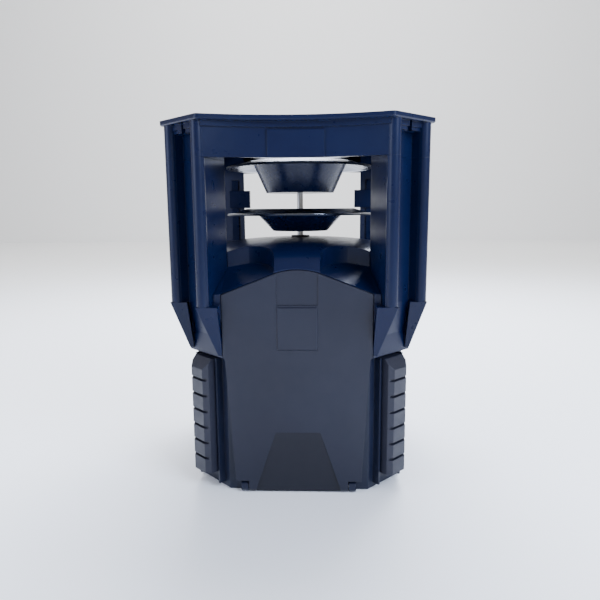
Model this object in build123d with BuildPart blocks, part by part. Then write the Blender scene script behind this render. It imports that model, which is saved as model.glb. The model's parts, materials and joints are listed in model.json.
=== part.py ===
"""Spinner feeder head that bolts under a grain hopper, in millimetres.

The origin is the middle of the footprint, +Z is up and the access door faces -Y. Three plastic
mouldings carry everything: the lower housing with the battery, the upper housing whose four
corner posts make an open cage, and the hopper adapter with the flange and the feed funnel. The
spinner, two polished plates over plastic bowls on one shaft, turns inside the cage.
"""
import os
from math import sqrt

from build123d import *

os.makedirs("parts", exist_ok=True)

# ---- driving dimensions --------------------------------------------------------------------
total_height = 250.0
wall = 3.0
seat_gap = 0.4          # play between mouldings that drop into each other
running_gap = 0.06      # radial play of the shaft in its bush

# hopper adapter
flange_reach = 90.0     # centre to the flange's outer corners
flange_corner = 59.5    # half length of the flange's sides
flange_waist = 79.5     # centre to the middle of a hollow side
flange_thickness = 3.2
apron_inset = 5.0       # how far the apron stands in from the flange edge
apron_height = 25.0     # top face down to the joint with the posts
funnel_mouth_radius = 62.0
funnel_throat_radius = 38.0
funnel_drop = 17.0
hopper_bolt_setback = 4.8   # from a post channel's floor out to the bolt
hopper_bolt_radius = 2.75

# corner posts
post_corner = 49.5      # both coordinates of a post's inner corner
ridge_radius = 4.2
ridge_inset = 2.7       # from the apron's face in to a ridge's centre
ridge_shift = 2.9       # from the apron's corner on to a ridge's centre
channel_width = 22.4
channel_depth = 6.2
channel_top_margin = 9.0
apron_step = 1.2        # band under the flange and pad in the middle of a side
apron_pad_half = 18.0
post_foot_z = 131.0
post_tip_z = 97.0
taper_overhang = 5.2    # how far a post's foot reaches in beside the door
tab_reach = 44.6        # centre to the free edge of the stop tabs
tab_root = 62.0
tab_height = 14.5
tab_z = 194.0

# upper housing and dome
hood_z = 95.0
hood_half = 77.5
hood_corner = 48.5      # half length of the hood's flat sides
shell_top_z = 132.0
gusset_height = 14.0    # under the dome's corners
dome_top_z = 172.0
dome_crown_fall = 6.5   # gentle fall of the dome's crown
dome_edge_fall = 11.5   # further fall of its shoulder
dome_edge_overhang = 0.5    # from the hood's face out to the dome's edge
dome_skirt_overhang = 19.5  # from the hood's face out to the foot of the dome's skirt
niche_depth_y = 50.0    # centre to the back of the scooped niches

# lower housing
base_setback = 5.0      # from the hood's face in to the base's face
base_corner = 48.0
base_lap = 7.0          # how far the lower housing reaches up inside the hood
boss_radius = 5.0
screw_radius = 1.7
screw_head_radius = 3.4
screw_head_height = 2.4
fin_thickness = 1.6
fin_height = 5.0
fin_foot_z = 4.0
fin_gap = 1.2           # between a rail's side and the fin beside it

# corner rails
rail_width = 19.0
rail_proud = 12.7       # from the base's corner face out to the rail's face
rail_bottom_z = 12.0
rail_shoulder_z = 86.5
rail_slot_pitch = 11.2
rail_slot_count = 6
rail_slot_height = 1.8
rail_slot_depth = 2.2
rail_bevel = 3.0

# front door
door_proud = 0.5        # how far the door's face stands out from the hood
door_thickness = 3.0
door_half_top = 49.5
door_half_hood = 48.0
door_half_bottom = 43.0
door_arch_z = 154.0
door_shoulder_z = 138.0
door_band_half = 13.5
door_pad_z = 101.0      # lower edge of the raised pad
door_facet_z = 44.0     # upper edge of the sunk facet
door_facet_half_top = 15.0
door_facet_half_bottom = 30.0
door_facet_sink = 1.6
hinge_radius = 3.6
hinge_pin_radius = 1.3
hinge_half = 34.0       # half length of the door's barrel
lug_width = 5.0

# spinner
shaft_radius = 2.25
plate_radius = 55.5
plate_crown_radius = 41.0
plate_droop = 3.7
plate_thickness = 1.2
throat_gap = 5.4        # from the funnel's throat down to the upper plate
stage_pitch = 34.4      # from the upper plate down to the lower one
bowl_wall = 2.0
upper_bowl_top_radius = 35.2
upper_bowl_bottom_radius = 25.6
upper_bowl_depth = 21.4
lower_bowl_top_radius = 35.4
lower_bowl_bottom_radius = 21.0
lower_bowl_depth = 15.4
collar_radius = 6.0

# drive and power
deck_z = 108.5
deck_thickness = 2.5
motor_radius = 17.5
motor_length = 38.0
motor_neck_radius = 5.0
motor_neck_height = 4.0
motor_stub_radius = 1.6
column_gap = 3.5        # between the motor and the columns beside it
coupler_radius = 5.5
coupler_length = 11.0
bush_radius = 5.0
battery_side = 66.0
battery_height = 94.0
battery_y = -16.0
terminal_spacing = 36.0

# timer
timer_width = 76.0
timer_height = 31.0
timer_depth = 12.0
timer_setback = 7.6     # from the door's face back to the timer's face
screen_width = 36.0
screen_height = 13.0
button_radius = 3.4
button_pitch = 16.0
button_travel = 1.2
button_proud = 2.0

# ---- values worked out from them -----------------------------------------------------------
seam_z = total_height - apron_height
apron_reach = flange_reach - apron_inset
apron_corner = flange_corner - apron_inset * (sqrt(2) - 1)
apron_waist = flange_waist - apron_inset
apron_diagonal = (apron_reach + apron_corner) / sqrt(2)
ridge_near = apron_corner + ridge_shift
ridge_far = apron_reach - ridge_inset
channel_floor = apron_diagonal - channel_depth
hopper_bolt_spacing = round(sqrt(2) * (channel_floor + hopper_bolt_setback))
door_face_y = -hood_half - door_proud
timer_face_y = door_face_y + timer_setback
base_half = hood_half - base_setback
dome_edge_radius = hood_half + dome_edge_overhang
dome_skirt_radius = hood_half + dome_skirt_overhang
window_half = ridge_near - ridge_radius
gusset_reach = window_half - 1.1
hinge_y = door_face_y + hinge_radius
hinge_z = hinge_radius + 0.4
base_top_z = hood_z + base_lap
upper_plate_z = total_height - funnel_drop - throat_gap
lower_plate_z = upper_plate_z - stage_pitch
column_spacing = 2 * (motor_radius + column_gap + boss_radius)
deck_top_z = deck_z + deck_thickness
motor_top_z = deck_top_z + motor_length
stub_top_z = motor_top_z + motor_neck_height + 6.0
coupler_z = stub_top_z - 5.0
shaft_foot_z = stub_top_z + 0.2
shaft_top_z = upper_plate_z + 4.2
base_diagonal = (base_half + base_corner) / sqrt(2)
rail_face = base_diagonal + rail_proud
boss_place = (base_diagonal - wall) / sqrt(2) - boss_radius / 2
hood_diagonal = (hood_half + hood_corner) / sqrt(2)
door_bottom_z = 2 * hinge_radius + 1.6
timer_z = deck_top_z + timer_height / 2
button_z = deck_top_z + 8.0
screen_z = deck_top_z + timer_height - 10.5


def octagon(half, corner):
    """Square outline with cut corners, drawn in the open sketch."""
    with BuildLine() as outline:
        Polyline(
            (corner, -half), (half, -corner), (half, corner), (corner, half),
            (-corner, half), (-half, corner), (-half, -corner), (-corner, -half),
            close=True,
        )
    make_face(outline.edges())


def waisted_octagon(reach, corner, waist):
    """Cut-corner outline whose four sides are hollow arcs, drawn in the open sketch."""
    side = (Vector(-corner, -reach), Vector(0, -waist), Vector(corner, -reach), Vector(reach, -corner))
    with BuildLine() as outline:
        for turn in (0, 90, 180, 270):
            start, middle, end, after = (point.rotate(Axis.Z, turn) for point in side)
            ThreePointArc(start, middle, end)
            Line(end, after)
    make_face(outline.edges())


def cage_opening(play=0.0, mode=Mode.ADD):
    """Plan of the space between the four posts: a square with an arm through each window."""
    inner = post_corner - play
    outer = window_half - play
    arm = ((-inner, -inner), (-outer, -ridge_far), (-outer, -120), (outer, -120), (outer, -ridge_far))
    corners = [Vector(*point).rotate(Axis.Z, turn) for turn in (0, 90, 180, 270) for point in arm]
    with BuildLine() as outline:
        Polyline(*corners, close=True)
    make_face(outline.edges(), mode=mode)


def post_hollows():
    """Three-cornered hollows inside the four posts, drawn in the open sketch."""
    slope = (window_half - post_corner) / (ridge_far - post_corner)
    near = post_corner + wall * 1.25
    reach = (channel_floor - wall) * sqrt(2)
    short = (near + slope * (reach - near)) / (1 + slope)
    for turn in (0, 90, 180, 270):
        corners = ((near, near), (reach - short, short), (short, reach - short))
        with BuildLine() as outline:
            Polyline(*[Vector(*point).rotate(Axis.Z, turn) for point in corners], close=True)
        make_face(outline.edges())


def diagonal_plane(index, distance, height=0.0):
    """Plane that faces outwards on one of the four diagonals."""
    outward = Vector(1, 0, 0).rotate(Axis.Z, 45 + 90 * index)
    sideways = Vector(0, 1, 0).rotate(Axis.Z, 45 + 90 * index)
    return Plane(origin=outward * distance + Vector(0, 0, height), x_dir=sideways, z_dir=outward)


def finish(piece, label):
    """Name a piece and write it."""
    piece.part.label = label
    export_step(piece.part, f"parts/{label}.step")


ridge_spots = [
    (sx * a, sy * b)
    for sx in (-1, 1)
    for sy in (-1, 1)
    for a, b in ((ridge_near, ridge_far), (ridge_far, ridge_near))
]
corner_signs = [(sx, sy) for sx in (-1, 1) for sy in (-1, 1)]


# ---- hopper adapter: flange, apron and feed funnel -----------------------------------------
with BuildPart() as hopper_adapter:
    with BuildSketch(Plane.XY.offset(total_height - flange_thickness)):
        waisted_octagon(flange_reach, flange_corner, flange_waist)
        fillet(vertices(), 3)
    extrude(amount=flange_thickness)
    chamfer(faces().sort_by(Axis.Z)[0].edges(), 0.8)
    with BuildSketch(Plane.XY.offset(seam_z)):
        waisted_octagon(apron_reach, apron_corner, apron_waist)
        with Locations(*ridge_spots):
            Circle(ridge_radius)
    extrude(amount=apron_height - flange_thickness)
    # band under the flange and the pads in the middle of the front and rear sides
    with BuildSketch(Plane.XY.offset(total_height - flange_thickness - 3.5)):
        waisted_octagon(apron_reach + apron_step, apron_corner, apron_waist + apron_step)
    extrude(amount=3.5)
    with BuildSketch(Plane.XY.offset(seam_z)):
        waisted_octagon(apron_reach, apron_corner, apron_waist + apron_step)
        Rectangle(2 * apron_pad_half, 4 * flange_reach, mode=Mode.INTERSECT)
    extrude(amount=apron_height - flange_thickness - 5)
    for index in range(4):
        with BuildSketch(diagonal_plane(index, channel_floor, seam_z)):
            with Locations((0, (apron_height - channel_top_margin) / 2)):
                Rectangle(channel_width, apron_height - channel_top_margin)
        extrude(amount=30, mode=Mode.SUBTRACT)
    with BuildSketch(Plane.XY.offset(seam_z)):
        waisted_octagon(apron_reach, apron_corner, apron_waist)
        offset(amount=-wall, kind=Kind.INTERSECTION)
        cage_opening(mode=Mode.INTERSECT)
        post_hollows()
    extrude(amount=apron_height - flange_thickness, mode=Mode.SUBTRACT)
    with BuildSketch(Plane.XZ):
        with BuildLine():
            Polyline(
                (funnel_mouth_radius + wall, total_height - flange_thickness / 2),
                (funnel_mouth_radius, total_height - flange_thickness / 2),
                (funnel_throat_radius, total_height - funnel_drop),
                (funnel_throat_radius + wall, total_height - funnel_drop),
                (funnel_mouth_radius + wall, total_height - flange_thickness - 0.6),
                close=True,
            )
        make_face()
    revolve(axis=Axis.Z)
    with BuildSketch(Plane.XZ):
        with BuildLine():
            Polyline(
                (0, total_height),
                (funnel_mouth_radius + wall / 2, total_height),
                (funnel_mouth_radius, total_height - flange_thickness / 2),
                (funnel_throat_radius, total_height - funnel_drop),
                (0, total_height - funnel_drop),
                close=True,
            )
        make_face()
    revolve(axis=Axis.Z, mode=Mode.SUBTRACT)
    with Locations(Plane.XY.offset(total_height)):
        with GridLocations(hopper_bolt_spacing, hopper_bolt_spacing, 2, 2):
            Hole(hopper_bolt_radius, depth=channel_top_margin + 1)
        with Locations(*ridge_spots):
            CounterBoreHole(
                screw_radius + 0.05,
                screw_head_radius + 0.2,
                screw_head_height + 0.3,
                depth=apron_height + 1,
            )
finish(hopper_adapter, "hopper_adapter")


# ---- upper housing: hooded shell and the four corner posts ---------------------------------
with BuildPart() as upper_housing:
    with BuildSketch(Plane.XY.offset(hood_z)):
        octagon(hood_half, hood_corner)
    extrude(amount=shell_top_z - hood_z)
    with BuildSketch(Plane.XY.offset(post_foot_z)):
        waisted_octagon(apron_reach, apron_corner, apron_waist)
        with Locations(*ridge_spots):
            Circle(ridge_radius)
        cage_opening(mode=Mode.SUBTRACT)
    extrude(amount=seam_z - post_foot_z)
    with BuildSketch(Plane.XY.offset(post_foot_z + wall)):
        post_hollows()
    extrude(amount=seam_z - post_foot_z - wall, mode=Mode.SUBTRACT)
    for sx, sy in corner_signs:
        for swapped in (False, True):
            top_width = 2 * ridge_radius + taper_overhang
            top_depth = 2 * ridge_radius + 3
            top_x, top_y = ridge_near - taper_overhang / 2, ridge_far - 1.5
            tip_x, tip_y = hood_corner + 2.6, hood_half - 2
            if swapped:
                top_x, top_y = top_y, top_x
                tip_x, tip_y = tip_y, tip_x
                top_width, top_depth = top_depth, top_width
            top_x, top_y = sx * top_x, sy * top_y
            tip_x, tip_y = sx * tip_x, sy * tip_y
            with BuildSketch(Plane.XY.offset(post_foot_z)):
                with Locations((top_x, top_y)):
                    Rectangle(top_width, top_depth)
            with BuildSketch(Plane.XY.offset(post_tip_z)):
                with Locations((tip_x, tip_y)):
                    Rectangle(3, 3)
            loft(ruled=True)
    # gussets that carry the dome's corners where the hood is cut away
    for index in range(4):
        for side in (-1, 1):
            for level, reach in ((shell_top_z, gusset_reach), (shell_top_z - gusset_height, hood_corner + 0.6)):
                root = hood_corner - 2
                corners = ((root, hood_half), (reach, hood_half), (reach, hood_half - reach + root))
                with BuildSketch(Plane.XY.offset(level)):
                    with BuildLine():
                        Polyline(
                            *[Vector(side * x, y).rotate(Axis.Z, 90 * index) for x, y in corners],
                            close=True,
                        )
                    make_face()
            loft(ruled=True)
    for index in range(4):
        with BuildSketch(Plane.XY.offset(post_foot_z)):
            with Locations(Vector(channel_floor - 4, 0).rotate(Axis.Z, 45 + 90 * index)):
                Rectangle(8, channel_width + 4, rotation=45 + 90 * index)
        with BuildSketch(Plane.XY.offset(post_tip_z)):
            with Locations(Vector(hood_diagonal - 5, 0).rotate(Axis.Z, 45 + 90 * index)):
                Rectangle(4, channel_width, rotation=45 + 90 * index)
        loft(ruled=True)
        with BuildSketch(diagonal_plane(index, channel_floor, post_foot_z)):
            with Locations((0, (seam_z - post_foot_z) / 2)):
                Rectangle(channel_width, seam_z - post_foot_z)
        extrude(amount=30, mode=Mode.SUBTRACT)
    # hollow of the shell, with a ledge for the equipment deck
    with BuildSketch(Plane.XY.offset(hood_z)):
        octagon(hood_half - wall, hood_corner - wall * (sqrt(2) - 1))
    extrude(amount=base_lap + seat_gap, mode=Mode.SUBTRACT)
    with BuildSketch(Plane.XY.offset(hood_z)):
        octagon(base_half - wall, base_corner - wall * (sqrt(2) - 1))
    extrude(amount=deck_z - hood_z, mode=Mode.SUBTRACT)
    with BuildSketch(Plane.XY.offset(deck_z)):
        octagon(hood_half - wall, hood_corner - wall * (sqrt(2) - 1))
    extrude(amount=post_foot_z - deck_z, mode=Mode.SUBTRACT)
    with BuildSketch(Plane.XY.offset(post_foot_z)):
        octagon(hood_half - wall, hood_corner - wall * (sqrt(2) - 1))
        cage_opening(mode=Mode.INTERSECT)
    extrude(amount=shell_top_z - post_foot_z, mode=Mode.SUBTRACT)
    # bosses that take the screws from the lower housing
    with BuildSketch(Plane.XY.offset(base_top_z + seat_gap)):
        with GridLocations(2 * boss_place, 2 * boss_place, 2, 2):
            Circle(boss_radius)
    extrude(amount=deck_z - base_top_z - seat_gap)
    # doorway between the front corners
    with BuildSketch(Plane.XZ.offset(hood_half - wall - 6)):
        with Locations((0, (hood_z + shell_top_z) / 2)):
            Rectangle(2 * (door_half_top + seat_gap), shell_top_z - hood_z + 1)
    extrude(amount=20, mode=Mode.SUBTRACT)
    # stop tabs and stiffening ribs on the rear posts
    for side in (-1, 1):
        with BuildSketch(Plane.XY.offset(tab_z)):
            with Locations((side * (tab_reach + tab_root) / 2, post_corner + 0.5)):
                Rectangle(tab_root - tab_reach, wall + 2)
        extrude(amount=tab_height)
        with BuildSketch(Plane.XY.offset(dome_top_z - 6)):
            with Locations((side * (post_corner + 8), post_corner + 1.4)):
                Rectangle(6, wall)
        extrude(amount=seam_z - dome_top_z - 2)
    with Locations(Plane.XY.offset(seam_z)):
        with Locations(*ridge_spots):
            Hole(screw_radius + 0.05, depth=26)
    with Locations(Plane.XY.offset(base_top_z + seat_gap)):
        with GridLocations(2 * boss_place, 2 * boss_place, 2, 2):
            Hole(screw_radius + 0.05)
finish(upper_housing, "upper_housing")


def door_outline():
    """Front view of the door panel, with its arched top."""
    with BuildLine() as outline:
        Polyline(
            (-door_band_half, door_arch_z - 2),
            (-door_half_top, door_shoulder_z),
            (-door_half_top, hood_z + 1),
            (-door_half_hood, hood_z - 1),
            (-door_half_bottom, door_bottom_z),
            (door_half_bottom, door_bottom_z),
            (door_half_hood, hood_z - 1),
            (door_half_top, hood_z + 1),
            (door_half_top, door_shoulder_z),
            (door_band_half, door_arch_z - 2),
        )
        ThreePointArc(
            (-door_band_half, door_arch_z - 2), (0, door_arch_z), (door_band_half, door_arch_z - 2)
        )
    return outline.edges()


# ---- dome cover: closes the shell under the spinner ----------------------------------------
def dome_profile(lift):
    """Half profile of the dome: a gentle crown, a rounder shoulder and a sloping skirt."""
    stations = []
    for share in (0, 0.25, 0.5, 0.7, 0.82, 0.92, 1):
        crown = dome_crown_fall * share**2
        shoulder = dome_edge_fall * share**12
        stations.append((dome_edge_radius * share, lift - crown - shoulder))
    skirt = (dome_skirt_radius, lift - dome_top_z + door_shoulder_z)
    halfway = ((dome_edge_radius + skirt[0]) / 2, (stations[-1][1] + skirt[1]) / 2 - 1)
    with BuildLine() as outline:
        Spline(*stations, halfway, skirt, tangents=((1, 0), (1, -0.6)))
        Polyline(
            skirt,
            (dome_skirt_radius, shell_top_z - 20),
            (0, shell_top_z - 20),
            (0, lift),
        )
    return outline.edges()


dome_half = hood_half - 0.3
niche_start = door_band_half + 1.5

# scooped niches in front of the dome, then the same behind it
with BuildPart() as niches:
    for side in (-1, 1):
        with BuildSketch(Plane.XZ.offset(-door_face_y + 3)):
            with BuildLine():
                Polyline(
                    (side * niche_start, door_arch_z - 3),
                    (side * door_half_top, door_shoulder_z - 1.5),
                    (side * 95, door_shoulder_z - 6),
                    (side * 95, dome_top_z + 20),
                    (side * niche_start, dome_top_z + 20),
                    close=True,
                )
            make_face()
        with BuildSketch(Plane.XZ.offset(niche_depth_y - 10)):
            with BuildLine():
                Polyline(
                    (side * niche_start, door_arch_z + 8),
                    (side * door_half_top, door_arch_z + 4.5),
                    (side * 95, door_arch_z),
                    (side * 95, dome_top_z + 20),
                    (side * niche_start, dome_top_z + 20),
                    close=True,
                )
            make_face()
        loft(ruled=True)
    with BuildSketch(Plane.XY.offset(shell_top_z - 20)):
        for side in (-1, 1):
            with BuildLine():
                Polyline(
                    (side * 34, -niche_depth_y),
                    (side * 94, -niche_depth_y),
                    (side * 94, door_face_y - 5),
                    (side * niche_start, door_face_y - 5),
                    (side * niche_start, door_face_y + 3),
                )
                ThreePointArc(
                    (side * niche_start, door_face_y + 3),
                    (side * (niche_start + 5.5), -niche_depth_y - 8.5),
                    (side * 34, -niche_depth_y),
                )
            make_face()
    extrude(amount=100, mode=Mode.INTERSECT)
    mirror(about=Plane.XZ)

# the air under the dome, kept a wall away from the top and from the niches
with BuildPart() as dome_hollow:
    with BuildSketch(Plane.XZ):
        make_face(dome_profile(dome_top_z - wall))
    revolve(axis=Axis.Z)
    with BuildSketch(Plane.XY.offset(shell_top_z - 25)):
        Rectangle(2 * (dome_half - wall), 2 * (dome_half - 2 * wall))
        cage_opening(wall + seat_gap, mode=Mode.INTERSECT)
    extrude(amount=100, mode=Mode.INTERSECT)
    for move_x, move_y in ((0, 0), (-wall, 0), (wall, 0), (0, -wall), (0, wall)):
        add(niches.part.moved(Location((move_x, move_y, -wall))), mode=Mode.SUBTRACT)

with BuildPart() as dome_cover:
    with BuildSketch(Plane.XZ):
        make_face(dome_profile(dome_top_z))
    revolve(axis=Axis.Z)
    with BuildSketch(Plane.XY.offset(shell_top_z)):
        Rectangle(2 * dome_half, 2 * dome_half)
        cage_opening(seat_gap, mode=Mode.INTERSECT)
    extrude(amount=100, mode=Mode.INTERSECT)
    add(niches.part, mode=Mode.SUBTRACT)
    add(dome_hollow.part, mode=Mode.SUBTRACT)
    # rebate that the top of the door closes into
    with BuildSketch(Plane.XZ.offset(-door_face_y - door_thickness - seat_gap)):
        make_face(door_outline())
        offset(amount=seat_gap, kind=Kind.INTERSECTION)
    extrude(amount=door_thickness + 5, mode=Mode.SUBTRACT)
    with Locations(Plane.XY.offset(dome_top_z)):
        Hole(bush_radius)
finish(dome_cover, "dome_cover")


# ---- lower housing: battery bay with screw bosses, corner fins and hinge lugs --------------
with BuildPart() as lower_housing:
    with BuildSketch(Plane.XY):
        octagon(base_half, base_corner)
    extrude(amount=base_top_z)
    chamfer(faces().sort_by(Axis.Z)[0].edges(), 1)
    with BuildSketch(Plane.XY.offset(wall)):
        octagon(base_half - wall, base_corner - wall * (sqrt(2) - 1))
    extrude(amount=base_top_z, mode=Mode.SUBTRACT)
    with BuildSketch(Plane.XY):
        with GridLocations(2 * boss_place, 2 * boss_place, 2, 2):
            Circle(boss_radius)
    extrude(amount=base_top_z)
    # fins beside each corner rail
    for index in range(4):
        fin_length = hood_z - 1 - fin_foot_z
        with BuildSketch(diagonal_plane(index, base_diagonal - 1, fin_foot_z)):
            with Locations((0, fin_length / 2)):
                with GridLocations(rail_width + 2 * fin_gap + fin_thickness, 0, 2, 1):
                    Rectangle(fin_thickness, fin_length)
        extrude(amount=fin_height + 1)
    # ribs that locate the battery
    with BuildSketch(Plane.XY.offset(wall)):
        with Locations((0, battery_y)):
            with GridLocations(battery_side + 2 + 2 * seat_gap, 0, 2, 1):
                Rectangle(2, battery_side * 0.6)
            with Locations((0, battery_side / 2 + 1 + seat_gap)):
                Rectangle(battery_side * 0.6, 2)
    extrude(amount=24)
    # doorway
    with BuildSketch(Plane.XZ.offset(base_half - wall - 1)):
        with Locations((0, (base_top_z + 12) / 2)):
            Rectangle(2 * 38, base_top_z - 36)
    extrude(amount=10, mode=Mode.SUBTRACT)
    # hinge lugs at the ends of the door's barrel, and the hollow that the barrel turns in
    with BuildSketch(Plane.YZ):
        with Locations((hinge_y, hinge_z)):
            Circle(hinge_radius)
        with Locations((hinge_y + hinge_radius, hinge_z)):
            Rectangle(2 * hinge_radius, 2 * hinge_radius)
    extrude(amount=hinge_half + seat_gap + lug_width, both=True)
    with BuildSketch(Plane.YZ):
        with Locations((hinge_y, hinge_z)):
            Circle(hinge_radius + seat_gap)
        with Locations((hinge_y - hinge_radius, hinge_z)):
            Rectangle(2 * hinge_radius, 2 * (hinge_radius + seat_gap))
    extrude(amount=hinge_half + seat_gap, both=True, mode=Mode.SUBTRACT)
    with BuildSketch(Plane.YZ):
        with Locations((hinge_y, hinge_z)):
            Circle(hinge_pin_radius)
    extrude(amount=hinge_half + seat_gap + lug_width - 1, both=True, mode=Mode.SUBTRACT)
    with Locations(Plane.XY.offset(base_top_z)):
        with GridLocations(2 * boss_place, 2 * boss_place, 2, 2):
            Hole(screw_radius + 0.05)
    with BuildSketch(Plane.XY):
        with GridLocations(2 * boss_place, 2 * boss_place, 2, 2):
            Circle(screw_head_radius + 0.2)
    extrude(amount=base_top_z - 10, mode=Mode.SUBTRACT)
finish(lower_housing, "lower_housing")


# ---- corner rails with cross slots ---------------------------------------------------------
rail_names = ("rail_rear_right", "rail_rear_left", "rail_front_left", "rail_front_right")
rail_height = hood_z - 1.5 - rail_bottom_z
for index, rail_name in enumerate(rail_names):
    outward = Vector(1, 0, 0).rotate(Axis.Z, 45 + 90 * index)
    across = outward.cross(Vector(0, 0, 1))
    footprint = Plane(origin=(0, 0, rail_bottom_z), x_dir=outward, z_dir=(0, 0, 1))
    side_view = Plane(origin=across * -rail_width, x_dir=outward, z_dir=across)
    with BuildPart() as rail:
        with BuildSketch(footprint):
            with BuildLine():
                Polyline(
                    (base_diagonal, -rail_width / 2),
                    (rail_face - rail_bevel, -rail_width / 2),
                    (rail_face, -rail_width / 2 + rail_bevel),
                    (rail_face, rail_width / 2 - rail_bevel),
                    (rail_face - rail_bevel, rail_width / 2),
                    (base_diagonal, rail_width / 2),
                    close=True,
                )
            make_face()
        extrude(amount=rail_height)
        with BuildSketch(side_view):
            with BuildLine():
                Polyline(
                    (rail_face + 1, rail_shoulder_z),
                    (rail_face, rail_shoulder_z),
                    (base_diagonal + rail_proud * 0.45, hood_z),
                    (rail_face + 1, hood_z),
                    close=True,
                )
            make_face()
        extrude(amount=2 * rail_width, mode=Mode.SUBTRACT)
        with BuildSketch(diagonal_plane(index, rail_face - rail_slot_depth, rail_bottom_z)):
            with Locations((0, rail_slot_pitch * (rail_slot_count + 1) / 2)):
                with GridLocations(0, rail_slot_pitch, 1, rail_slot_count):
                    Rectangle(rail_width + 2, rail_slot_height)
        extrude(amount=10, mode=Mode.SUBTRACT)
    finish(rail, rail_name)


# ---- front door with its seal and hinge pin ------------------------------------------------
with BuildPart() as front_door:
    with BuildSketch(Plane.XZ.offset(-door_face_y - door_thickness)):
        make_face(door_outline())
    extrude(amount=door_thickness)
    # barrel and the web that joins it to the panel
    with BuildSketch(Plane.YZ):
        with Locations((hinge_y, hinge_z)):
            Circle(hinge_radius)
        with Locations((door_face_y + door_thickness / 2, (hinge_z + door_bottom_z + 1) / 2)):
            Rectangle(door_thickness, door_bottom_z + 1 - hinge_z)
    extrude(amount=hinge_half, both=True)
    with BuildSketch(Plane.YZ):
        with Locations((hinge_y, hinge_z)):
            Circle(hinge_pin_radius + running_gap)
    extrude(amount=hinge_half, both=True, mode=Mode.SUBTRACT)
    # sunk centre band under the arch, and the raised pad below it
    with BuildSketch(Plane.XZ.offset(-door_face_y - 0.6)):
        with Locations((0, (post_foot_z + door_arch_z) / 2 + 2)):
            Rectangle(2 * door_band_half, door_arch_z - post_foot_z + 4)
    extrude(amount=2, mode=Mode.SUBTRACT)
    with BuildSketch(Plane.XZ.offset(-door_face_y)):
        with Locations((0, (door_pad_z + post_foot_z) / 2 - 0.5)):
            Rectangle(2 * door_band_half, post_foot_z - door_pad_z - 1)
    extrude(amount=0.8, taper=40)
    # facet that leans in towards the hinge
    lean = door_facet_sink / door_facet_z
    with BuildSketch(Plane((0, door_face_y, door_facet_z), x_dir=(1, 0, 0), z_dir=(0, -1, -lean))):
        with BuildLine():
            Polyline(
                (-door_facet_half_top, 0),
                (-door_facet_half_bottom, -door_facet_z - 1),
                (door_facet_half_bottom, -door_facet_z - 1),
                (door_facet_half_top, 0),
                close=True,
            )
        make_face()
    extrude(amount=4, mode=Mode.SUBTRACT)
finish(front_door, "front_door")

with BuildPart() as door_seal:
    with BuildSketch(Plane.XZ.offset(base_half)):
        with Locations((0, (base_top_z + 12) / 2)):
            Rectangle(2 * 38 + 7, base_top_z - 36 + 7)
            Rectangle(2 * 38 + 1, base_top_z - 36 + 1, mode=Mode.SUBTRACT)
    extrude(amount=-door_face_y - door_thickness - base_half - 0.2)
finish(door_seal, "door_seal")

with BuildPart() as door_hinge_pin:
    with BuildSketch(Plane.YZ.offset(-(hinge_half + seat_gap + lug_width - 1))):
        with Locations((hinge_y, hinge_z)):
            Circle(hinge_pin_radius)
    extrude(amount=2 * (hinge_half + seat_gap + lug_width - 1))
finish(door_hinge_pin, "door_hinge_pin")


# ---- spinner: shaft, two plates over bowls, collars and nut --------------------------------
def plate_outline(top, droop):
    """Half section of a plate that is flat in the middle and droops at its rim."""
    with BuildLine() as outline:
        Polyline(
            (shaft_radius + 0.05, top),
            (plate_crown_radius, top),
            (plate_radius - 4, top - droop + 0.4),
            (plate_radius, top - droop),
            (plate_radius, top - droop - plate_thickness),
            (plate_radius - 4.2, top - droop + 0.4 - plate_thickness),
            (plate_crown_radius - 0.2, top - plate_thickness),
            (shaft_radius + 0.05, top - plate_thickness),
            close=True,
        )
    return outline.edges()


def bowl_outline(rim_z, top_radius, bottom_radius, depth):
    """Half section of a thin cone-sided bowl with a flat floor and a hole for the shaft."""
    with BuildLine() as outline:
        Polyline(
            (top_radius, rim_z),
            (bottom_radius, rim_z - depth),
            (shaft_radius + 0.05, rim_z - depth),
            (shaft_radius + 0.05, rim_z - depth + bowl_wall),
            (bottom_radius - bowl_wall / 2, rim_z - depth + bowl_wall),
            (top_radius - bowl_wall - 0.4, rim_z),
            close=True,
        )
    return outline.edges()


spinner_stages = (
    ("upper", upper_plate_z, upper_bowl_top_radius, upper_bowl_bottom_radius, upper_bowl_depth),
    ("lower", lower_plate_z, lower_bowl_top_radius, lower_bowl_bottom_radius, lower_bowl_depth),
)
for stage, plate_z, top_radius, bottom_radius, depth in spinner_stages:
    bowl_rim_z = plate_z - plate_thickness
    with BuildPart() as plate:
        with BuildSketch(Plane.XZ):
            make_face(plate_outline(plate_z, plate_droop))
        revolve(axis=Axis.Z)
    finish(plate, f"{stage}_plate")
    with BuildPart() as bowl:
        with BuildSketch(Plane.XZ):
            make_face(bowl_outline(bowl_rim_z, top_radius, bottom_radius, depth))
        revolve(axis=Axis.Z)
    finish(bowl, f"{stage}_bowl")
    with BuildPart() as collar:
        with BuildSketch(Plane.XY.offset(bowl_rim_z - depth + bowl_wall)):
            Circle(collar_radius)
            Circle(shaft_radius + 0.02, mode=Mode.SUBTRACT)
        extrude(amount=depth - bowl_wall)
    finish(collar, f"{stage}_collar")

with BuildPart() as drive_shaft:
    with BuildSketch(Plane.XY.offset(shaft_foot_z)):
        Circle(shaft_radius)
    extrude(amount=shaft_top_z - shaft_foot_z)
    chamfer(edges().sort_by(Axis.Z)[-1], 0.5)
finish(drive_shaft, "drive_shaft")

with BuildPart() as lock_nut:
    with BuildSketch(Plane.XY.offset(upper_plate_z)):
        RegularPolygon(5.0, 6)
        Circle(shaft_radius + 0.02, mode=Mode.SUBTRACT)
    extrude(amount=3.2)
finish(lock_nut, "lock_nut")

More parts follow.
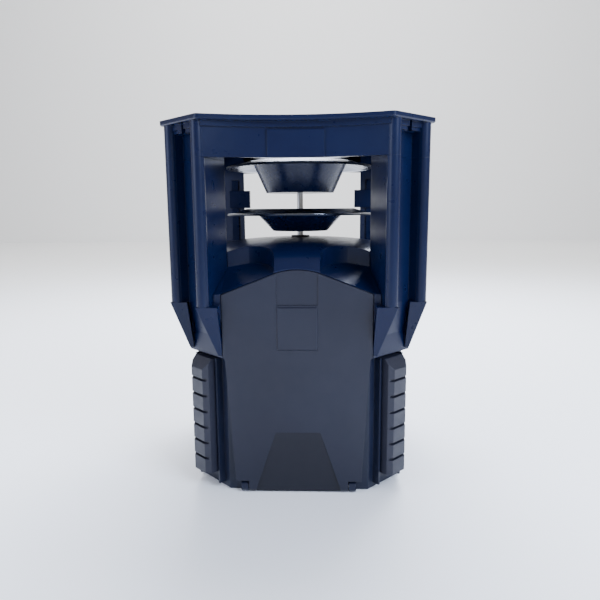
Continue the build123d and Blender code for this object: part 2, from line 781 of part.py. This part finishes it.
with BuildPart() as shaft_coupler:
    with BuildSketch(Plane.XY.offset(coupler_z)):
        Circle(coupler_radius)
    extrude(amount=coupler_length)
    with BuildSketch(Plane.XY.offset(coupler_z)):
        Circle(motor_stub_radius + 0.05)
    extrude(amount=shaft_foot_z - coupler_z, mode=Mode.SUBTRACT)
    with BuildSketch(Plane.XY.offset(shaft_foot_z)):
        Circle(shaft_radius + 0.02)
    extrude(amount=coupler_length, mode=Mode.SUBTRACT)
finish(shaft_coupler, "shaft_coupler")


# ---- drive: bush, motor with its plate, equipment deck and screws --------------------------
with BuildPart() as shaft_bush:
    with BuildSketch(Plane.XY.offset(dome_top_z - wall)):
        Circle(bush_radius)
    extrude(amount=wall)
    with BuildSketch(Plane.XY.offset(dome_top_z)):
        Circle(bush_radius + 2)
    extrude(amount=1)
    with Locations(Plane.XY.offset(dome_top_z + 1)):
        Hole(shaft_radius + running_gap)
finish(shaft_bush, "shaft_bush")

with BuildPart() as equipment_deck:
    with BuildSketch(Plane.XY.offset(deck_z)):
        octagon(hood_half - wall - seat_gap, hood_corner - wall * (sqrt(2) - 1) - seat_gap / 2)
    extrude(amount=deck_thickness)
    with BuildSketch(Plane.XY.offset(deck_top_z)):
        Circle(motor_radius + seat_gap + 2)
        Circle(motor_radius + seat_gap, mode=Mode.SUBTRACT)
    extrude(amount=9)
    with BuildSketch(Plane.XY.offset(deck_top_z)):
        with GridLocations(column_spacing, 0, 2, 1):
            Circle(boss_radius)
    extrude(amount=motor_length)
    with Locations(Plane.XY.offset(motor_top_z)):
        with GridLocations(column_spacing, 0, 2, 1):
            Hole(screw_radius + 0.05, depth=14)
finish(equipment_deck, "equipment_deck")

with BuildPart() as motor:
    with BuildSketch(Plane.XY.offset(deck_top_z)):
        Circle(motor_radius)
    extrude(amount=motor_length)
    fillet(edges().filter_by(GeomType.CIRCLE), 1.5)
    with BuildSketch(Plane.XY.offset(motor_top_z)):
        Circle(motor_neck_radius)
    extrude(amount=motor_neck_height)
    with Locations(Plane.XY.offset(motor_top_z + motor_neck_height)):
        Hole(motor_stub_radius + 0.05, depth=motor_neck_height + 2)
finish(motor, "motor")

with BuildPart() as motor_stub_shaft:
    with BuildSketch(Plane.XY.offset(motor_top_z - 2)):
        Circle(motor_stub_radius)
    extrude(amount=stub_top_z - motor_top_z + 2)
finish(motor_stub_shaft, "motor_stub_shaft")

motor_plate_thickness = 1.6
with BuildPart() as motor_plate:
    with BuildSketch(Plane.XY.offset(motor_top_z)):
        SlotOverall(column_spacing + 2 * boss_radius, 2 * boss_radius + 4)
        Circle(motor_neck_radius + 0.1, mode=Mode.SUBTRACT)
        with GridLocations(column_spacing, 0, 2, 1):
            Circle(screw_radius + 0.1, mode=Mode.SUBTRACT)
    extrude(amount=motor_plate_thickness)
finish(motor_plate, "motor_plate")


def pan_head_screws(label, spots, seat_z, length, facing=1):
    """One node of equal screws; facing is 1 for heads on top and -1 for heads underneath."""
    with BuildPart() as screws:
        for spot_x, spot_y in spots:
            with BuildSketch(Plane.XY.offset(seat_z)):
                with Locations((spot_x, spot_y)):
                    Circle(screw_head_radius)
            extrude(amount=facing * screw_head_height)
            with BuildSketch(Plane.XY.offset(seat_z)):
                with Locations((spot_x, spot_y)):
                    Circle(screw_radius)
            extrude(amount=-facing * length)
            with BuildSketch(Plane.XY.offset(seat_z + facing * screw_head_height)):
                with Locations((spot_x, spot_y)):
                    Rectangle(3.2, 0.8)
                    Rectangle(0.8, 3.2)
            extrude(amount=-facing * 1.2, mode=Mode.SUBTRACT)
    finish(screws, label)


boss_spots = [(sx * boss_place, sy * boss_place) for sx, sy in corner_signs]
column_spots = [(-column_spacing / 2, 0), (column_spacing / 2, 0)]
pan_head_screws("adapter_screws", ridge_spots, total_height - screw_head_height - 0.3, 40)
pan_head_screws("base_screws", boss_spots, base_top_z - 10, 15, -1)
pan_head_screws("motor_screws", column_spots, motor_top_z + motor_plate_thickness, 12)


# ---- battery with its spring terminals -----------------------------------------------------
with BuildPart() as battery:
    with BuildSketch(Plane.XY.offset(wall)):
        with Locations((0, battery_y)):
            RectangleRounded(battery_side, battery_side, 6)
    extrude(amount=battery_height)
    chamfer(faces().sort_by(Axis.Z)[-1].edges(), 1.5)
finish(battery, "battery")

with BuildPart() as battery_terminals:
    with BuildSketch(Plane.XY.offset(wall + battery_height)):
        with Locations((0, battery_y)):
            with GridLocations(terminal_spacing, terminal_spacing, 1, 2):
                Circle(5)
    extrude(amount=9, taper=24)
finish(battery_terminals, "battery_terminals")


# ---- timer: case, circuit board, screen and three buttons ----------------------------------
button_names = ("button_mode", "button_set", "button_test")
button_places = [(place - 1) * button_pitch for place in range(3)]
with BuildPart() as timer_case:
    with BuildSketch(Plane.XZ.offset(-timer_face_y)):
        with Locations((0, timer_z)):
            RectangleRounded(timer_width, timer_height, 3)
    extrude(amount=-timer_depth)
    with BuildSketch(Plane.XZ.offset(-timer_face_y - 2)):
        with Locations((0, timer_z)):
            RectangleRounded(timer_width - 4, timer_height - 4, 2)
    extrude(amount=-timer_depth, mode=Mode.SUBTRACT)
    with BuildSketch(Plane.XZ.offset(-timer_face_y)):
        with Locations((0, screen_z)):
            Rectangle(screen_width, screen_height)
        with Locations(*[(place, button_z) for place in button_places]):
            Circle(button_radius + 0.3)
    extrude(amount=-3, mode=Mode.SUBTRACT)
finish(timer_case, "timer_case")

with BuildPart() as timer_board:
    with BuildSketch(Plane.XZ.offset(-timer_face_y - timer_depth + 1.6)):
        with Locations((0, timer_z)):
            RectangleRounded(timer_width - 4.4, timer_height - 4.4, 2.2)
    extrude(amount=1.6)
finish(timer_board, "timer_board")

with BuildPart() as timer_screen:
    with BuildSketch(Plane.XZ.offset(-timer_face_y - 0.3)):
        with Locations((0, screen_z)):
            Rectangle(screen_width - 0.2, screen_height - 0.2)
    extrude(amount=-1.7)
finish(timer_screen, "timer_screen")

button_depth = 5.0
for button_name, place in zip(button_names, button_places):
    with BuildPart() as button:
        with BuildSketch(Plane.XZ.offset(-timer_face_y + button_proud)):
            with Locations((place, button_z)):
                Circle(button_radius)
        extrude(amount=-(button_depth + button_proud))
        fillet(faces().sort_by(Axis.Y)[0].edges(), 0.6)
    finish(button, button_name)
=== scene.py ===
import json
import math

import bmesh
import bpy
from mathutils import Matrix, Vector


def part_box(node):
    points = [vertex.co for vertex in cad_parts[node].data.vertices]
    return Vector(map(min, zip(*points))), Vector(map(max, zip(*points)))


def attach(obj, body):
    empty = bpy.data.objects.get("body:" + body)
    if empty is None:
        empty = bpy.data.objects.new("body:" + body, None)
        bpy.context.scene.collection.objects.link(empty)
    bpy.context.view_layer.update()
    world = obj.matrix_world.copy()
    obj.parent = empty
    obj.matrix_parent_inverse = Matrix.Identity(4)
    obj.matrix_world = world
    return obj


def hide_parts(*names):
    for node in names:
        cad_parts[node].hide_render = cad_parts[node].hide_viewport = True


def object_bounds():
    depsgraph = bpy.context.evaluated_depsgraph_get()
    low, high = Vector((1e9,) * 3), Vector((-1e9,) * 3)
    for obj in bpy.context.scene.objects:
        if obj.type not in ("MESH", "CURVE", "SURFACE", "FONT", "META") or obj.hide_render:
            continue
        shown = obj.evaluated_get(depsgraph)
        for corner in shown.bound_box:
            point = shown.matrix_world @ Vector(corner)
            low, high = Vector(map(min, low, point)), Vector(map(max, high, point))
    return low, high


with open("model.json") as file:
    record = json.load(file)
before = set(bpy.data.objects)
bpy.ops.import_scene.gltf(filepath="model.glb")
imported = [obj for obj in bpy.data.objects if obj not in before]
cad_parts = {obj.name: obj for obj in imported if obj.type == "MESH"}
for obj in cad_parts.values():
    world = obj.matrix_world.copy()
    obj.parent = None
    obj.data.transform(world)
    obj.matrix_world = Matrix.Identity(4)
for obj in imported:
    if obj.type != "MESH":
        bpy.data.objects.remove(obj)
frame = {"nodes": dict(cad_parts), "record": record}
cad_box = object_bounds()
MM = 0.001

# plastic finishes
EDGE_RADIUS = 0.7 * MM          # soft rounding drawn on moulded edges
RELIEF = 0.1 * MM               # height that a full-strength bump stands for
FLOW_MM = 1000 / 14             # breadth of the melt's faint flow shading, about 71 mm
SCUFF_MM = 6.25                 # breadth of handling scuffs
PLASTIC_IOR = 1.5
# painted shade: the trapezoid facet at the foot of the door is drawn darker, as it faces down, away from
# the light
FACET_TOP = 44.0 * MM           # height of the leaning facet at the foot of the door
FACET_HALF_TOP = 15.0 * MM
FACET_HALF_FOOT = 30.0 * MM
FACET_SHADE_COLOUR = "#080A18"

# added pieces
RIM_WIRE = 0.9 * MM             # radius of the plates' rolled edge
RIM_STEPS = 120
RIM_SIDES = 10
SPRING_WIRE = 0.5 * MM          # radius of the spring wire
SPRING_TURNS = 4.0
SPRING_STEPS = 24
SPRING_SIDES = 8
SPRING_TIP = 0.5                # tip radius over foot radius

# stage, in metres, watts, millimetres of lens and degrees
STUDIO_WIDTH = 12.0
BACKDROP_Y = 3.0
SURROUNDINGS = 0.6
AIM = (0, 0, 0.13)              # near the middle of the object
LAMPS = (                       # name, place, aim, width, power, colour
    ("key_right", (0.75, -0.75, 0.75), AIM, 0.6, 20, "#CFE0FF"),
    ("backdrop_wash", (0, 1.2, 2.2), (0, BACKDROP_Y, 0.7), 2.0, 60, "#FFFFFF"),
    ("fill_left", (-0.95, -0.55, 0.45), AIM, 0.7, 8, "#D4E0FF"),
    ("top_back", (0.1, 0.55, 0.95), (0, 0, 0.16), 0.8, 34, "#E4EDFF"),
)
EYE_MM = (14.4, -432.7, 192.8)
EYE_TURN, EYE_DIP, EYE_ROLL = 2.0, 9.3, -0.45
LENS, SENSOR = 33.3, 36.0


# ---- small helpers -------------------------------------------------------------------------
def linear_colour(hex_code):
    """Turn an sRGB hex colour into the linear value that a shader takes."""
    parts = [int(hex_code[i:i + 2], 16) / 255 for i in (1, 3, 5)]
    linear = [c / 12.92 if c <= 0.04045 else ((c + 0.055) / 1.055) ** 2.4 for c in parts]
    return (*linear, 1.0)


def add(tree, kind, links=(), **settings):
    """Add a node, set its sockets or properties, and link its inputs."""
    node = tree.nodes.new(kind)
    for name, value in settings.items():
        if hasattr(node, name):
            setattr(node, name, value)
        else:
            node.inputs[name.replace("_", " ")].default_value = value
    for socket, source in links:
        tree.links.new(source, node.inputs[socket])
    return node


def new_material(name):
    """An empty node material and its tree."""
    material = bpy.data.materials.new(name)
    material.use_nodes = True
    material.node_tree.nodes.clear()
    return material, material.node_tree


def close_material(material, tree, shader):
    """Send the shader to the surface output."""
    add(tree, "ShaderNodeOutputMaterial", links=[("Surface", shader.outputs[0])])
    return material


# ---- materials -----------------------------------------------------------------------------
def noise(tree, place, grain_mm, detail):
    """A noise whose grains are about as broad as the size given."""
    return add(tree, "ShaderNodeTexNoise", links=[("Vector", place)], Scale=1 / (grain_mm * MM),
               Detail=detail).outputs["Fac"]


def two_tone(tree, height, dark, light, start):
    """Colour that goes from dark to light over the middle of a noise."""
    ramp = add(tree, "ShaderNodeValToRGB", links=[("Fac", height)])
    for stop, place, colour in zip(ramp.color_ramp.elements, (start, 1 - start), (dark, light)):
        stop.position = place
        stop.color = linear_colour(colour)
    return ramp.outputs["Color"]


def uneven_roughness(tree, height, rough, start=0.0):
    """Roughness that follows a texture between two values."""
    spread = add(tree, "ShaderNodeMapRange", links=[("Value", height)])
    spread.inputs["From Min"].default_value = start
    spread.inputs["From Max"].default_value = 1 - start
    spread.inputs["To Min"].default_value, spread.inputs["To Max"].default_value = rough
    return spread.outputs["Result"]


def facet_shade_mask(tree, place):
    """One inside the leaning facet at the foot of the door, where shade is painted, nought elsewhere."""
    spot = add(tree, "ShaderNodeSeparateXYZ", links=[("Vector", place)]).outputs
    side = add(tree, "ShaderNodeMath", links=[(0, spot["X"])], operation="ABSOLUTE")
    edge = add(tree, "ShaderNodeMath", links=[(0, spot["Z"])], operation="MULTIPLY_ADD")
    edge.inputs[1].default_value = (FACET_HALF_TOP - FACET_HALF_FOOT) / FACET_TOP
    edge.inputs[2].default_value = FACET_HALF_FOOT
    inside = add(tree, "ShaderNodeMath", links=[(0, side.outputs[0]), (1, edge.outputs[0])],
                 operation="LESS_THAN")
    below = add(tree, "ShaderNodeMath", links=[(0, spot["Z"])], operation="LESS_THAN")
    below.inputs[1].default_value = FACET_TOP
    return add(tree, "ShaderNodeMath", links=[(0, inside.outputs[0]), (1, below.outputs[0])],
               operation="MULTIPLY").outputs[0]


def moulded_abs(name, dark, light, rough, gloss, spark_mm, depth, facet=False):
    """Injection-moulded ABS: faint flow shading, a spark-eroded skin and softly rounded edges."""
    material, tree = new_material(name)
    place = add(tree, "ShaderNodeTexCoord").outputs["Object"]
    colour = two_tone(tree, noise(tree, place, FLOW_MM, 3.0), dark, light, 0.3)
    if facet:
        # painted shade: the facet at the door's foot is drawn darker, as it faces down, away from the
        # light
        painted_shade = add(tree, "ShaderNodeMix", data_type="RGBA",
                       links=[("Factor", facet_shade_mask(tree, place)), (6, colour)])
        painted_shade.inputs[7].default_value = linear_colour(FACET_SHADE_COLOUR)
        colour = painted_shade.outputs[2]
    edge = add(tree, "ShaderNodeBevel", Radius=EDGE_RADIUS, samples=4)
    # the real skin is about 0.15 mm; drawn coarser so that it shows
    bump = add(tree, "ShaderNodeBump",
               links=[("Height", noise(tree, place, spark_mm, 2.0)), ("Normal", edge.outputs["Normal"])],
               Strength=depth, Distance=RELIEF)
    worn = uneven_roughness(tree, noise(tree, place, SCUFF_MM, 6.0), rough, 0.3)
    shader = add(tree, "ShaderNodeBsdfPrincipled",
                 links=[("Base Color", colour), ("Roughness", worn), ("Normal", bump.outputs["Normal"])],
                 IOR=PLASTIC_IOR, Specular_IOR_Level=gloss)
    return close_material(material, tree, shader)


def turned_metal(name, hex_code, rough, ring_mm):
    """Metal whose finish runs in rings about the shaft."""
    material, tree = new_material(name)
    place = add(tree, "ShaderNodeTexCoord").outputs["Object"]
    # real turning marks are finer; drawn so that they show, about twice ring_mm apart
    rings = add(tree, "ShaderNodeTexWave", links=[("Vector", place)], Scale=1 / (ring_mm * MM * 6.28),
                Distortion=0.6, Detail=2.0)
    rings.wave_type = "RINGS"
    rings.rings_direction = "Z"
    bump = add(tree, "ShaderNodeBump", links=[("Height", rings.outputs["Fac"])], Strength=0.05,
               Distance=RELIEF / 2)
    shader = add(tree, "ShaderNodeBsdfPrincipled",
                 links=[("Roughness", uneven_roughness(tree, rings.outputs["Fac"], rough)),
                        ("Normal", bump.outputs["Normal"])],
                 Base_Color=linear_colour(hex_code), Metallic=1.0)
    return close_material(material, tree, shader)


def mottled(name, first, second, grain_mm, rough):
    """Finish of the smaller parts: a soft mottle of two close colours."""
    material, tree = new_material(name)
    place = add(tree, "ShaderNodeTexCoord").outputs["Object"]
    grain = noise(tree, place, grain_mm, 3.0)
    bump = add(tree, "ShaderNodeBump", links=[("Height", grain)], Strength=0.1, Distance=RELIEF)
    shader = add(tree, "ShaderNodeBsdfPrincipled",
                 links=[("Base Color", two_tone(tree, grain, first, second, 0.35)),
                        ("Roughness", uneven_roughness(tree, grain, rough)),
                        ("Normal", bump.outputs["Normal"])], IOR=PLASTIC_IOR)
    return close_material(material, tree, shader)


# ABS, injection moulded, spark-eroded tool: the door looks grey and dull, with painted shade darkening
# the facet at its foot
abs_door = moulded_abs("door_abs", "#101222", "#161929", rough=(0.38, 0.5), gloss=0.36,
                       spark_mm=0.5, depth=0.16, facet=True)
# the same, on the base: darker and a little bluer
abs_skin = moulded_abs("textured_abs", "#0B1124", "#10172C", rough=(0.34, 0.46), gloss=0.34,
                       spark_mm=0.5, depth=0.12)
# the same, on the rails: the greyest and roughest skin, its lighter tone partly painted light where the
# rails' slanted faces catch the front light
abs_rail = moulded_abs("rail_abs", "#141625", "#1A1C2B", rough=(0.42, 0.54), gloss=0.42,
                       spark_mm=0.6, depth=0.2)
# ABS, injection moulded, satin tool: a smoother blue-black cage and dome
abs_smooth = moulded_abs("satin_abs", "#060F2B", "#091533", rough=(0.27, 0.34), gloss=0.22,
                         spark_mm=0.9, depth=0.03)
# ABS, injection moulded, polished tool: the bowls' soft gleam
abs_gloss = moulded_abs("polished_tool_abs", "#020F2E", "#051438", rough=(0.24, 0.32), gloss=0.3,
                        spark_mm=1.5, depth=0.02)
# steel, polished: bright, nearly mirror-like rims
mirror_steel = turned_metal("mirror_polished_steel", "#E4E6EA", rough=(0.08, 0.16), ring_mm=1.2)
# steel, polished, drawn dark: a painted dark reflection of the shaded interior, so the plates hold only
# a soft reflection
shade_darkened_steel = turned_metal("shade_darkened_steel", "#2C3140", rough=(0.24, 0.34), ring_mm=1.2)
# steel, ground: a grey rod with a soft streak of light
ground_steel = turned_metal("ground_steel_rod", "#B9B8B6", rough=(0.22, 0.34), ring_mm=0.8)
# steel, zinc plated: slightly cloudy silver
zinc = turned_metal("bright_zinc_plate", "#AEB2B8", rough=(0.25, 0.4), ring_mm=0.8)
# brass, turned: warm yellow collars and springs
brass = turned_metal("turned_brass", "#B99A55", rough=(0.25, 0.38), ring_mm=0.8)
# ABS, injection moulded without a skin: even black inside parts
inner_abs = mottled("plain_black_abs", "#1B1C20", "#222329", grain_mm=3.0, rough=(0.45, 0.55))
# rubber, foamed: dead matt black
rubber = mottled("foam_rubber", "#131314", "#1C1C1E", grain_mm=0.8, rough=(0.8, 0.95))
# nylon, moulded: black with a waxy sheen
nylon = mottled("black_nylon", "#141416", "#1B1B1E", grain_mm=1.5, rough=(0.4, 0.5))
# lacquered jacket of the battery, without print: charcoal with a low gloss
jacket = mottled("battery_jacket", "#23262B", "#2C3036", grain_mm=4.0, rough=(0.35, 0.5))
# glass-epoxy board under solder mask: glossy green
mask = mottled("solder_mask", "#0E4A26", "#15602F", grain_mm=2.0, rough=(0.3, 0.4))
# silicone rubber, moulded: matt grey key caps
key_rubber = mottled("key_cap_rubber", "#6A6C70", "#75777B", grain_mm=1.0, rough=(0.55, 0.7))
# liquid crystal behind a clear window: flat grey-green, glossy
crystal = mottled("crystal_window", "#5E665A", "#6B7366", grain_mm=6.0, rough=(0.12, 0.18))

FINISHES = {
    "moulded_black": abs_skin, "moulded_inner": inner_abs, "bowl_black": abs_gloss,
    "polished_steel": mirror_steel, "shaft_steel": ground_steel, "zinc_steel": zinc, "brass": brass,
    "nylon": nylon, "seal_rubber": rubber, "battery_case": jacket, "board": mask,
    "screen_glass": crystal, "button_grey": key_rubber,
}
NODE_FINISHES = {
    # the plates' steel is drawn dark: a painted reflection of the shaded interior
    "front_door": abs_door, "upper_plate": shade_darkened_steel, "lower_plate": shade_darkened_steel,
    "hopper_adapter": abs_smooth, "upper_housing": abs_smooth, "dome_cover": abs_smooth,
    "rail_front_left": abs_rail, "rail_front_right": abs_rail,
    "rail_rear_left": abs_rail, "rail_rear_right": abs_rail,
}
for part in frame["record"]["subparts"]:
    node = frame["nodes"][part["node"]]
    node.data.materials.clear()
    node.data.materials.append(NODE_FINISHES.get(part["node"], FINISHES[part["material_slot"]]))


# ---- rolled rims of the two plates ---------------------------------------------------------
def rolled_rim(name, node):
    """Wire-like rolled edge round a plate, turned from a ring of small circles."""
    low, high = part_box(node)
    reach = (high[0] - low[0]) / 2 - RIM_WIRE
    level = low[2] + RIM_WIRE
    shape = bmesh.new()
    rings = []
    for step in range(RIM_STEPS):
        turn = math.tau * step / RIM_STEPS
        ring = []
        for side in range(RIM_SIDES):
            lean = math.tau * side / RIM_SIDES
            out = reach + RIM_WIRE * math.cos(lean)
            spot = (out * math.cos(turn), out * math.sin(turn), level + RIM_WIRE * math.sin(lean))
            ring.append(shape.verts.new(spot))
        rings.append(ring)
    for first, second in zip(rings, rings[1:] + rings[:1]):
        for side in range(RIM_SIDES):
            after = (side + 1) % RIM_SIDES
            shape.faces.new((first[side], second[side], second[after], first[after]))
    bmesh.ops.recalc_face_normals(shape, faces=shape.faces)
    mesh = bpy.data.meshes.new(name)
    shape.to_mesh(mesh)
    shape.free()
    mesh.shade_smooth()
    mesh.materials.append(mirror_steel)
    rim = bpy.data.objects.new(name, mesh)
    bpy.context.collection.objects.link(rim)
    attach(rim, "spinner")


rolled_rim("upper_rim", "upper_plate")
rolled_rim("lower_rim", "lower_plate")


# ---- coil springs on the battery -----------------------------------------------------------
def spring_tree():
    """Two conical wire coils, set apart along Y."""
    tree = bpy.data.node_groups.new("battery_springs", "GeometryNodeTree")
    face = tree.interface
    face.new_socket("Geometry", in_out="INPUT", socket_type="NodeSocketGeometry")
    sizes = {}
    for label in ("Foot Radius", "Tip Radius", "Height", "Wire", "Apart"):
        sizes[label] = face.new_socket(label, in_out="INPUT", socket_type="NodeSocketFloat").identifier
    face.new_socket("Geometry", in_out="OUTPUT", socket_type="NodeSocketGeometry")
    given = add(tree, "NodeGroupInput").outputs
    coil = add(tree, "GeometryNodeCurveSpiral",
               links=[("Start Radius", given["Foot Radius"]), ("End Radius", given["Tip Radius"]),
                      ("Height", given["Height"])], Resolution=SPRING_STEPS, Rotations=SPRING_TURNS)
    wire = add(tree, "GeometryNodeCurvePrimitiveCircle", links=[("Radius", given["Wire"])],
               Resolution=SPRING_SIDES)
    swept = add(tree, "GeometryNodeCurveToMesh",
                links=[("Curve", coil.outputs["Curve"]), ("Profile Curve", wire.outputs["Curve"])])
    swept.inputs["Fill Caps"].default_value = True
    offset = add(tree, "ShaderNodeCombineXYZ", links=[("Y", given["Apart"])])
    spots = add(tree, "GeometryNodeMeshLine", links=[("Offset", offset.outputs["Vector"])], Count=2)
    placed = add(tree, "GeometryNodeInstanceOnPoints",
                 links=[("Points", spots.outputs["Mesh"]), ("Instance", swept.outputs["Mesh"])])
    real = add(tree, "GeometryNodeRealizeInstances", links=[("Geometry", placed.outputs["Instances"])])
    smooth = add(tree, "GeometryNodeSetShadeSmooth", links=[("Geometry", real.outputs["Geometry"])])
    finish = add(tree, "GeometryNodeSetMaterial", links=[("Geometry", smooth.outputs["Geometry"])],
                 Material=brass)
    add(tree, "NodeGroupOutput", links=[("Geometry", finish.outputs["Geometry"])])
    return tree, sizes


def battery_springs():
    """Bake the two springs to a plain mesh where the plain terminals stand."""
    low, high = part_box("battery_terminals")
    foot = (high[0] - low[0]) / 2 - SPRING_WIRE
    apart = high[1] - low[1] - (high[0] - low[0])
    tree, sizes = spring_tree()
    holder = bpy.data.objects.new("spring_maker", bpy.data.meshes.new("spring_maker"))
    bpy.context.collection.objects.link(holder)
    maker = holder.modifiers.new("springs", "NODES")
    maker.node_group = tree
    for label, size in (("Foot Radius", foot), ("Tip Radius", foot * SPRING_TIP),
                        ("Height", high[2] - low[2] - 2 * SPRING_WIRE), ("Wire", SPRING_WIRE),
                        ("Apart", apart)):
        maker[sizes[label]] = size
    ready = holder.evaluated_get(bpy.context.evaluated_depsgraph_get())
    mesh = bpy.data.meshes.new_from_object(ready)
    bpy.data.objects.remove(holder)
    middle_x = (low[0] + high[0]) / 2
    first_y = (low[1] + high[1]) / 2 - apart / 2
    mesh.transform(Matrix.Translation((middle_x, first_y, low[2] + SPRING_WIRE)))
    springs = bpy.data.objects.new("battery_springs", mesh)
    bpy.context.collection.objects.link(springs)
    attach(springs, "housing")
    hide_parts("battery_terminals")


battery_springs()


# ---- floor, light and camera ---------------------------------------------------------------
def matt_white():
    """Plain pale studio paper."""
    material, tree = new_material("studio_paper")
    shader = add(tree, "ShaderNodeBsdfPrincipled", Base_Color=linear_colour("#FFFFFF"), Roughness=0.9)
    return close_material(material, tree, shader)


def studio():
    """Pale floor, an upright backdrop of the same paper, and white surroundings."""
    bpy.ops.mesh.primitive_plane_add(size=STUDIO_WIDTH, location=(0, 0, cad_box[0][2]))
    floor = bpy.context.object
    floor.name = "studio_floor"
    floor.data.materials.append(matt_white())
    bpy.ops.mesh.primitive_plane_add(size=STUDIO_WIDTH, location=(0, BACKDROP_Y, 0),
                                     rotation=(math.radians(90), 0, 0))
    backdrop = bpy.context.object
    backdrop.name = "studio_backdrop"
    backdrop.data.materials.append(floor.data.materials[0])
    world = bpy.data.worlds.new("white_surroundings")
    bpy.context.scene.world = world
    world.use_nodes = True
    background = world.node_tree.nodes["Background"]
    background.inputs["Color"].default_value = linear_colour("#FFFFFF")
    background.inputs["Strength"].default_value = SURROUNDINGS


def soft_light(name, place, aim, width, power, colour):
    """A large square lamp at a place, turned to its aim."""
    lamp = bpy.data.lights.new(name, "AREA")
    lamp.shape = "SQUARE"
    lamp.size = width
    lamp.energy = power
    lamp.color = linear_colour(colour)[:3]
    holder = bpy.data.objects.new(name, lamp)
    bpy.context.collection.objects.link(holder)
    holder.location = place
    holder.rotation_euler = (Vector(aim) - Vector(place)).to_track_quat("-Z", "Y").to_euler()


def camera():
    """Eye a little right of the door's middle, above the lower plate, looking slightly down."""
    lens = bpy.data.cameras.new("camera")
    lens.sensor_width = SENSOR
    lens.lens = LENS
    eye = bpy.data.objects.new("camera", lens)
    bpy.context.collection.objects.link(eye)
    turn = Matrix.Rotation(math.radians(EYE_TURN), 4, "Z")
    pitch = Matrix.Rotation(math.radians(90 - EYE_DIP), 4, "X")
    roll = Matrix.Rotation(math.radians(EYE_ROLL), 4, "Z")
    eye.matrix_world = Matrix.Translation(Vector(EYE_MM) * MM) @ turn @ pitch @ roll
    bpy.context.scene.camera = eye


studio()
for settings in LAMPS:
    soft_light(*settings)
camera()
